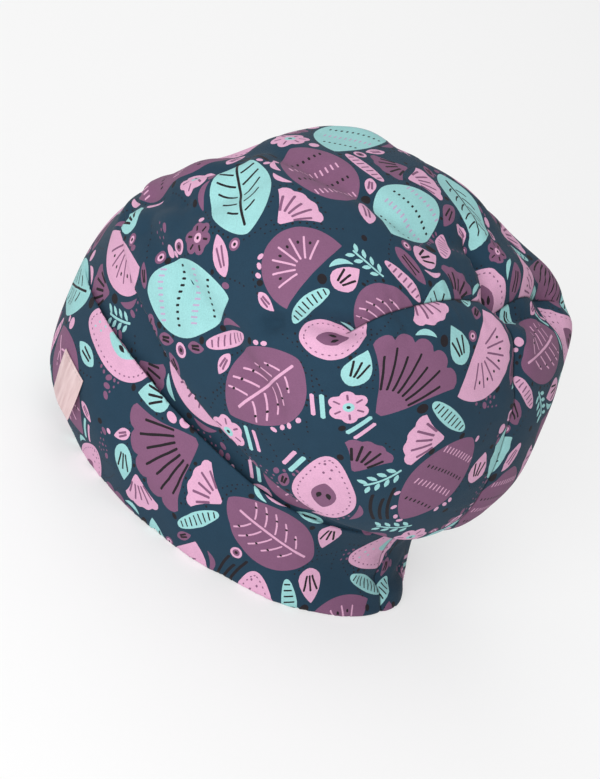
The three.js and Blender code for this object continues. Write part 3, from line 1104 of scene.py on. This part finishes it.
def places_of(layout, points):
    """The angle and course of points of the flat cloth."""
    find = layout.tree.find_nearest
    corners = layout.triangles[[find((x, y, 0.0))[2] for x, y in points]]
    a, b, c = (layout.flat[corners[:, k]] for k in range(3))
    weight = [doubled_area(points, b, c), doubled_area(a, points, c), doubled_area(a, b, points)]
    weight = np.maximum(np.stack(weight, axis=1) / doubled_area(a, b, c)[:, None], 0)
    weight /= weight.sum(1)[:, None]
    course = (weight * layout.course[corners]).sum(1)
    # every angle meets at the top centre, so its corner has no say in the angle
    has_angle = weight * (layout.course[corners] < TOP_COURSE - JOIN)
    has_angle[has_angle.sum(1) < JOIN**2] = 1 / 3
    angle = (has_angle * layout.angle[corners]).sum(1) / has_angle.sum(1)
    return angle, np.clip(course, RIM_COURSE, TOP_COURSE)


# ------------------------------------------------------------------ the whole hat

INNER_COLUMNS = 96
INNER_ROWS = 24
INNER_TOP_DROP = 5.0  # from the outer face down to the inner one at the top centre
TUCK_FADE = 0.9  # levels over which the inner face gives way to the tucks
FLAT_SPAN = 660.0  # millimetres of flat cloth across the whole UV square
INNER_UV_START = 0.56  # the inner face's share of the UV square starts here
INNER_UV_FILL = (0.97, 0.98)  # how much of its share it fills, across and up
WELD_REACH = 0.04  # points of the two sides of a seam nearer than this are one
RIM_NEAR = 0.02  # courses from the cloth's end within which an open edge is the rim's


def srgb(red, green, blue):
    """A screen colour, 0 to 255, as linear light."""
    share = np.array([red, green, blue]) / 255
    return np.where(share <= 0.04045, share / 12.92, ((share + 0.055) / 1.055) ** 2.4)


INK_COLOURS = np.array(
    [
        srgb(35, 60, 78),  # GROUND, petrol
        srgb(126, 86, 115),  # PLUM
        srgb(214, 164, 193),  # PINK
        srgb(150, 202, 202),  # MINT
        srgb(38, 34, 38),  # BLACK
        srgb(182, 162, 192),  # LILAC
    ]
)


def inner_point(angle, level):
    """The bag's inner face, which clears the folded layers behind the tucks."""
    below = smooth_step((level - (LIP_LEVEL - TUCK_FADE)) / TUCK_FADE)
    above = smooth_step((OVERHANG_LEVEL + TUCK_FADE - level) / TUCK_FADE)
    stack = np.maximum(tuck_value(angle, "lip_depth"), tuck_value(angle, "overhang_depth"))
    inset = WALL + stack * below * above
    point = form_point(angle, level)
    return point - form_normal(angle, level) * (inset + dent_depth(point))[:, None]


def welded(points):
    """For each point, the number of the first one at the same place."""
    tree = tree_of(points)
    first = np.array([min(hit[1] for hit in tree.find_range(p, WELD_REACH)) for p in points])
    while (first[first] != first).any():
        first = first[first]
    return first


def rim_ring(faces, course):
    """The corners along the cloth's open edge inside the rim, in order."""
    edges = np.vstack([faces[:, [k, (k + 1) % 3]] for k in range(3)])
    edges = edges[(course[edges] < RIM_COURSE + RIM_NEAR).all(1)]
    there = {tuple(edge) for edge in edges.tolist()}
    following = {a: b for a, b in there if (b, a) not in there}
    ring = [min(following)]
    while following[ring[-1]] != ring[0]:
        ring.append(following[ring[-1]])
    return np.array(ring)


def zipped(lower, lower_turn, upper, upper_turn):
    """Triangles between two closed rings, each with its corners' turns round the hat."""
    first = int(np.argmin(lower_turn))
    lower, lower_turn = np.roll(lower, -first), np.roll(lower_turn, -first)
    lower_turn = np.append(lower_turn, lower_turn[0] + 2 * math.pi)
    upper_turn = np.append(upper_turn, upper_turn[0] + 2 * math.pi)
    i = j = 0
    while i < len(lower) or j < len(upper):
        a, b = lower[i % len(lower)], upper[j % len(upper)]
        if j == len(upper) or (i < len(lower) and lower_turn[i + 1] <= upper_turn[j + 1]):
            i += 1
            yield a, lower[i % len(lower)], b
        else:
            j += 1
            yield a, upper[j % len(upper)], b


def outer_cloth(layout):
    """Corners of the printed outer cloth, its faces with the seams closed and still open, and
    each face's ink."""
    printed = print_on(layout)
    flat, open_faces = triangulate(layout, printed)
    ink = inks_of(flat[open_faces].mean(1), printed)
    angle, course = places_of(layout, flat)
    points = cloth_point(angle, course)
    joined = np.arange(len(points))
    used = np.unique(open_faces)
    joined[used] = used[welded(points[used])]
    faces = joined[open_faces]
    whole = (faces != np.roll(faces, 1, axis=1)).all(1)
    faces, open_faces, ink = faces[whole], open_faces[whole], ink[whole]
    # a thin pair that lies back to back on the same corners is dropped
    _, group, count = np.unique(np.sort(faces, axis=1), axis=0, return_inverse=True, return_counts=True)
    single = count[group.ravel()] == 1
    return points, flat, angle, course, faces[single], open_faces[single], ink[single]


def inner_wall(start, ring, ring_turn, turns):
    """Faces of the inner wall, whose rows of corners begin at start, zipped to the rim's ring."""
    faces = list(zipped(ring, ring_turn, start + np.arange(INNER_COLUMNS), turns))
    top = start + (INNER_ROWS - 1) * INNER_COLUMNS
    for row in range(start, top, INNER_COLUMNS):
        for column in range(INNER_COLUMNS):
            a, b = row + column, row + (column + 1) % INNER_COLUMNS
            if row + INNER_COLUMNS == top:
                faces.append((a, b, top))
            else:
                faces += [(a, b, b + INNER_COLUMNS), (a, b + INNER_COLUMNS, a + INNER_COLUMNS)]
    return np.array(faces)[:, ::-1]


def make_hat():
    layout = Layout()
    points, flat, angle, course, faces, open_faces, ink = outer_cloth(layout)
    turns = full_turn(INNER_COLUMNS)
    levels = [TOP_LEVEL * k / INNER_ROWS for k in range(1, INNER_ROWS)]
    inner = [inner_point(turns, np.full(INNER_COLUMNS, level)) for level in levels]
    top = cloth_point(np.zeros(1), np.full(1, TOP_COURSE)) - [0, 0, INNER_TOP_DROP]
    start = len(points)
    points = np.vstack([points, *inner, top])
    ring = rim_ring(faces, course)
    inner_faces = inner_wall(start, ring, angle[ring] % (2 * np.pi), turns)

    hat = new_mesh("beanie_jersey", points, np.vstack([faces, inner_faces]))
    colours = np.vstack([INK_COLOURS[ink], np.tile(INK_COLOURS[GROUND], (len(inner_faces), 1))])
    colours = np.hstack([colours, np.ones((len(colours), 1))]).repeat(3, axis=0)
    hat.data.color_attributes.new("print", "FLOAT_COLOR", "CORNER").data.foreach_set("color", colours.ravel())
    # each corner's distance from the nearest seam, which the material uses to paint shade along the seams
    gaps = seam_gaps(layout, flat)[open_faces].ravel()
    gaps = np.concatenate([gaps, np.full(inner_faces.size, SEAM_ROWS[-1])])
    hat.data.attributes.new("seam_gap", "FLOAT", "CORNER").data.foreach_set("value", gaps)
    set_uv(hat, np.vstack([flat[open_faces] / FLAT_SPAN, inner_layout(points, inner_faces, start)]))
    return hat


def inner_layout(points, faces, start):
    """UV places of the inner face: turn round the hat against height up its wall."""
    count = INNER_COLUMNS * (INNER_ROWS - 1)
    row = np.zeros(len(points))
    row[start:] = 1 + np.arange(count + 1) // INNER_COLUMNS
    offset = points - points[start + count]
    turn = np.arctan2(offset[:, 1], offset[:, 0]) / (2 * np.pi) + 0.5
    turn, row = turn[faces], row[faces]
    wrapped = np.ptp(turn, axis=1) > 0.5
    turn[wrapped] = np.where(turn[wrapped] < 0.5, turn[wrapped] + 1, turn[wrapped])
    height = (1 - INNER_UV_START) * INNER_UV_FILL[1] / INNER_ROWS
    return points_of(turn * INNER_UV_FILL[0], INNER_UV_START + height * row)


def show(name, data):
    """A new object in the scene."""
    thing = bpy.data.objects.new(name, data)
    bpy.context.scene.collection.objects.link(thing)
    return thing


def new_mesh(name, points, faces):
    """A smooth piece, without the points that no face uses."""
    mesh = bpy.data.meshes.new(name)
    mesh.from_pydata((points * MM + shift_m).tolist(), [], faces.tolist())
    mesh.polygons.foreach_set("use_smooth", [True] * len(mesh.polygons))
    work = bmesh.new()
    work.from_mesh(mesh)
    bmesh.ops.delete(work, geom=[v for v in work.verts if not v.link_faces], context="VERTS")
    work.to_mesh(mesh)
    work.free()
    return show(name, mesh)


def set_uv(piece, places):
    layer = piece.data.uv_layers.new(name="OFBake")
    layer.data.foreach_set("uv", places.reshape(-1))


# ------------------------------------------------------------------ materials


class Nodes:
    """A material's node tree, with short ways to add to it."""

    def __init__(self, name):
        self.material = bpy.data.materials.new(name)
        self.material.use_nodes = True
        self.tree = self.material.node_tree
        self.shader = self.tree.nodes["Principled BSDF"]

    def put(self, socket, value):
        """Links a socket or sets its value."""
        if isinstance(value, bpy.types.NodeSocket):
            self.tree.links.new(value, socket)
        else:
            socket.default_value = value

    def add(self, kind, **inputs):
        """A node; inputs are named with _ for a space, and names in lower case are settings."""
        node = self.tree.nodes.new(kind)
        for name, value in inputs.items():
            if name.islower():
                setattr(node, name, value)
            else:
                self.put(node.inputs[name.replace("_", " ")], value)
        return node

    def shade(self, **inputs):
        for name, value in inputs.items():
            self.put(self.shader.inputs[name.replace("_", " ")], value)

    def math(self, operation, *values):
        node = self.add("ShaderNodeMath", operation=operation)
        for socket, value in zip(node.inputs, values):
            self.put(socket, value)
        return node.outputs[0]

    def blend(self, *parts):
        """The sum of sockets, each times its own weight."""
        total = None
        for value, weight in parts:
            part = self.math("MULTIPLY", value, weight)
            total = part if total is None else self.math("ADD", total, part)
        return total

    def wave(self, value, length):
        return self.math("SINE", self.math("MULTIPLY", value, 2 * math.pi / length))

    def scaled(self, colour, share):
        node = self.add("ShaderNodeVectorMath", operation="SCALE", Scale=share)
        self.put(node.inputs[0], colour)
        return node.outputs[0]

    def noise(self, vector, *, scale, detail, rough):
        node = self.add("ShaderNodeTexNoise", Vector=vector, Scale=scale, Detail=detail, Roughness=rough)
        return node.outputs[0]

    def cloth_place(self):
        """Millimetres of flat cloth, as separate x and y, and as a vector."""
        place = self.scaled(self.add("ShaderNodeUVMap", uv_map="OFBake").outputs[0], FLAT_SPAN)
        parts = self.add("ShaderNodeSeparateXYZ", Vector=place)
        return parts.outputs[0], parts.outputs[1], place

    def bump(self, height, strength, distance):
        node = self.add("ShaderNodeBump", Strength=strength, Distance=distance, Height=height)
        self.shade(Normal=node.outputs[0])


WALE = 0.85  # millimetres from one column of stitches to the next
STITCH_ROW = 0.62
ROW_SHARE = 0.6  # how strongly the rows of stitches show, against the columns
SEAM_PAINTED_SHADE = 0.35  # of the cloth's colour kept in the needle line of a seam, as painted shade of the seam's pinched crease
SEAM_PAINTED_SHADE_REACH = 0.95


def jersey_material():
    """Fine knitted jersey with its print: V-shaped stitches, a soft nap, faint mottling, and painted shade
    along each seam's pinched crease.
    """
    n = Nodes("printed_jersey")
    across, along, place = n.cloth_place()
    wale = n.math("ABSOLUTE", n.wave(across, WALE))
    row = n.wave(n.blend((along, 1.0), (wale, STITCH_ROW * 0.9)), STITCH_ROW)
    stitches = n.blend((wale, 0.5), (row, ROW_SHARE / 2))
    nap = n.noise(place, scale=2.6, detail=4.0, rough=0.65)
    mottle = n.noise(place, scale=0.16, detail=3.0, rough=0.55)
    grain = n.noise(place, scale=1.3, detail=3.0, rough=0.6)
    shade = n.math("ADD", n.blend((nap, 0.24), (stitches, 0.10), (mottle, 0.16), (grain, 0.36)), 0.59)
    # painted shade: the colour darkens toward each seam's needle line, standing in for the shade of its
    # pinched crease
    gap = n.add("ShaderNodeAttribute", attribute_name="seam_gap").outputs["Fac"]
    painted_seam_shade_limits = {"From_Max": SEAM_PAINTED_SHADE_REACH, "To_Min": SEAM_PAINTED_SHADE}
    line = n.add("ShaderNodeMapRange", interpolation_type="SMOOTHSTEP", Value=gap, **painted_seam_shade_limits)
    ink = n.add("ShaderNodeAttribute", attribute_name="print").outputs["Color"]
    n.shade(
        Base_Color=n.scaled(ink, n.math("MULTIPLY", shade, line.outputs[0])),
        Roughness=n.math("ADD", n.math("MULTIPLY", grain, 0.14), 0.78),
        Sheen_Weight=0.05,
        Sheen_Roughness=0.45,
        Specular_IOR_Level=0.12,
    )
    n.bump(n.blend((stitches, 0.7), (nap, 0.5)), 0.35, 0.00022)
    return n.material


LABEL_HEIGHT = 19.0
STITCH_PITCH = 2.6  # from one of the label's stitches to the next
STITCH_WIDTH = 0.45
STITCH_INSET = 1.3  # from the label's top edge
STITCH_SHADE = 0.22
THREAD = 0.42  # spacing of the satin's threads, and of its warp
WARP = 0.3


def satin_material():
    """Pale pink woven satin: fine threads, and a soft streaky gloss across the fall that is painted
    highlight, lighter and darker streaks in its colour.
    """
    n = Nodes("label_satin")
    across, along, place = n.cloth_place()
    # painted highlight: the satin's gloss drawn as lighter and darker streaks of its colour
    painted_gloss_streaks = n.add("ShaderNodeMapping", Vector=place, Scale=(0.3, 0.09, 1.0))
    soft = n.noise(painted_gloss_streaks.outputs[0], scale=1.0, detail=3.0, rough=0.5)
    painted_gloss_ramp = n.add("ShaderNodeValToRGB", Fac=soft)
    for element, at, colour in zip(painted_gloss_ramp.color_ramp.elements, (0.32, 0.7), ((196, 164, 165), (222, 198, 198))):
        element.position = at
        element.color = (*srgb(*colour), 1)
    # a row of small stitches below the top edge
    row = n.math("COMPARE", along, LABEL_HEIGHT - STITCH_INSET, STITCH_WIDTH / 2)
    dash = n.math("GREATER_THAN", n.wave(across, STITCH_PITCH), -0.3)
    stitch = n.math("MULTIPLY", n.math("MULTIPLY", row, dash), STITCH_SHADE)
    n.shade(
        Base_Color=n.scaled(painted_gloss_ramp.outputs[0], n.math("SUBTRACT", 1.0, stitch)),
        Roughness=n.math("ADD", n.math("MULTIPLY", soft, 0.15), 0.38),
        Anisotropic=0.5,
        Sheen_Weight=0.1,
    )
    n.bump(n.blend((n.wave(along, THREAD), 0.5), (n.wave(across, WARP), 0.2)), 0.25, 0.00012)
    return n.material


# ------------------------------------------------------------------ the label

LABEL_WIDTH = 22.6
LABEL_THICKNESS = 0.6
LABEL_GAP = 0.25  # from the cloth to the label's back
LABEL_LIFT = 5.0  # how far the free edge stands off at its middle
LABEL_TWIST = 2.0  # how much more it stands off at its back corner
LABEL_WAVE = 0.35  # height of the label's own soft waves
LABEL_TURN = math.radians(-116)  # from the back
LABEL_TOP_LEVEL = 1.29
LABEL_COLUMNS = 48
LABEL_ROWS = 40
LABEL_PROBE = np.array([0.1])  # radians or levels over which the form's scale is measured


def label_place(part, side, clearance):
    """A place on the label: part goes down from its top edge, 0 to 1, side runs -1 to 1."""
    middle, top = np.array([LABEL_TURN]), np.array([LABEL_TOP_LEVEL])
    start = form_point(middle, top)
    per_turn = np.linalg.norm(form_point(middle + LABEL_PROBE, top) - start) / LABEL_PROBE[0]
    per_level = np.linalg.norm(form_point(middle, top - LABEL_PROBE) - start) / LABEL_PROBE[0]
    turn = LABEL_TURN + LABEL_WIDTH / 2 / per_turn * side
    level = LABEL_TOP_LEVEL - LABEL_HEIGHT / per_level * part
    wave = LABEL_WAVE * np.sin(2.6 * side + 1.5 * part) * part
    off = clearance + (LABEL_LIFT + LABEL_TWIST * side) * part**2 + wave
    return open_cloth_point(turn, level) + form_normal(turn, level) * off[:, None]


def make_label():
    """Rows and columns crowd toward the label's edges, which are rolled round."""
    spread = np.sin(np.linspace(-math.pi / 2, math.pi / 2, LABEL_COLUMNS + 1))
    drop = (np.sin(np.linspace(-math.pi / 2, math.pi / 2, LABEL_ROWS + 1)) + 1) / 2
    part, side = (grid.ravel() for grid in np.meshgrid(drop, spread, indexing="ij"))
    edge = np.minimum((1 - abs(side)) * LABEL_WIDTH / 2, np.minimum(part, 1 - part) * LABEL_HEIGHT)
    reach = LABEL_THICKNESS / 2
    thick = reach * np.sqrt(1 - (1 - np.clip(edge / reach, 0, 1)) ** 2)
    back = label_place(part, side, LABEL_GAP + reach - thick)
    front = label_place(part, side, LABEL_GAP + reach + thick)
    front_index = np.arange(len(back)) + np.where(thick < TINY, 0, len(back))
    wide = LABEL_COLUMNS + 1
    faces = []
    for i in range(LABEL_ROWS):
        for j in range(LABEL_COLUMNS):
            a = i * wide + j
            b, c, d = a + 1, a + 1 + wide, a + wide
            # each half meets the label's nearest corner, so no face lies flat on another there
            if (i < LABEL_ROWS / 2) == (j < LABEL_COLUMNS / 2):
                halves = (a, b, c), (a, c, d)
            else:
                halves = (a, b, d), (b, c, d)
            for half in halves:
                faces += [half, tuple(front_index[list(half[::-1])])]
    faces = np.array(faces)
    label = new_mesh("beanie_label", np.vstack([back, front]), faces)
    flat = points_of((side + 1) / 2 * LABEL_WIDTH, (1 - part) * LABEL_HEIGHT) / FLAT_SPAN
    flat = np.vstack([flat, flat])[faces]
    flat[1::2] += [0.1, 0]  # the front's place in the UV square, beside the back's
    set_uv(label, flat)
    return label


# ------------------------------------------------------------------ the frame's shift

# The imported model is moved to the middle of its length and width; the rim's back point and its
# far side say by how much.
cad_points = np.array([v.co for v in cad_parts["hat_body"].data.vertices])
rim_points = cad_points[cad_points[:, 2] < 1e-5]
rim_back, rim_far = SECTIONS[0].back_x * MM, SECTIONS[0].half_width * MM
shift_m = np.array([rim_points[:, 0].max() - rim_back, rim_points[:, 1].max() - rim_far, 0.0])

hat = make_hat()
hat.data.materials.append(jersey_material())
label = make_label()
label.data.materials.append(satin_material())
for piece, node, slot in ((hat, "hat_body", "printed_jersey"), (label, "label", "label_satin")):
    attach(piece, "root")
    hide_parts(node)

# ------------------------------------------------------------------ floor, light and camera

FLOOR_SIZE = 12.0
FLOOR_GLOW = 0.55  # evens out the floor's shadow, as a white studio sweep does
VIEW_AZIMUTH = math.radians(28.0)
VIEW_ELEVATION = math.radians(26.0)
VIEW_ROLL = math.radians(26.5)
VIEW_DISTANCE = 1.3
VIEW_TARGET = Vector((0.0, 0.0, 0.080))  # in the rim's own frame
VIEW_OFFSET = (-0.0024, -0.0141)  # of the camera, across and up the picture
VIEW_LENS = 125.4


def make_camera():
    cos, sin = math.cos(VIEW_AZIMUTH), math.sin(VIEW_AZIMUTH)
    level_right = Vector((cos, sin, 0))
    level = math.cos(VIEW_ELEVATION)
    back = Vector((sin * level, -cos * level, math.sin(VIEW_ELEVATION)))
    level_up = back.cross(level_right)
    right = level_right * math.cos(VIEW_ROLL) + level_up * math.sin(VIEW_ROLL)
    up = level_up * math.cos(VIEW_ROLL) - level_right * math.sin(VIEW_ROLL)
    camera = show("camera", bpy.data.cameras.new("camera"))
    camera.data.lens = VIEW_LENS
    target = VIEW_TARGET + Vector(shift_m)
    place = target + right * VIEW_OFFSET[0] + up * VIEW_OFFSET[1] + back * VIEW_DISTANCE
    camera.matrix_world = Matrix.Translation(place) @ Matrix((right, up, back)).transposed().to_4x4()
    bpy.context.scene.camera = camera


# Soft round lights, by their places in metres from the middle of the rim.
Light = namedtuple("Light", "name x y z size watts")
LIGHTS = [
    Light("key", 0.3, -1.6, 0.7, 0.9, 15.0),
    Light("side", 0.6, -1.1, 1.1, 1.0, 6.0),
    Light("high", -0.4, -0.1, 2.0, 1.6, 8.0),
    Light("far", -1.2, 0.9, 1.2, 1.0, 5.0),
]
LIGHT_TARGET = Vector((0.0, 0.0, 0.08))
WORLD_STRENGTH = 0.42


def make_lights():
    for light in LIGHTS:
        lamp = show(light.name, bpy.data.lights.new(light.name, "AREA"))
        lamp.data.shape = "DISK"
        lamp.data.size = light.size
        lamp.data.energy = light.watts
        lamp.location = (light.x, light.y, light.z)
        lamp.rotation_euler = (lamp.location - LIGHT_TARGET).to_track_quat("Z", "Y").to_euler()
    world = bpy.data.worlds.new("studio")
    world.use_nodes = True
    background = world.node_tree.nodes["Background"]
    background.inputs["Color"].default_value = (1.0, 1.0, 1.0, 1.0)
    background.inputs["Strength"].default_value = WORLD_STRENGTH
    bpy.context.scene.world = world
    bpy.context.scene.view_settings.view_transform = "Standard"


def make_floor():
    half = FLOOR_SIZE / 2
    mesh = bpy.data.meshes.new("floor")
    corners = [(-half, -half, 0), (half, -half, 0), (half, half, 0), (-half, half, 0)]
    mesh.from_pydata(corners, [], [(0, 1, 2, 3)])
    n = Nodes("floor")
    n.shade(Base_Color=(0.4, 0.4, 0.4, 1.0), Roughness=0.9)
    n.shade(Emission_Color=(1.0, 1.0, 1.0, 1.0), Emission_Strength=FLOOR_GLOW)
    mesh.materials.append(n.material)
    show("floor", mesh)


make_floor()
make_lights()
make_camera()
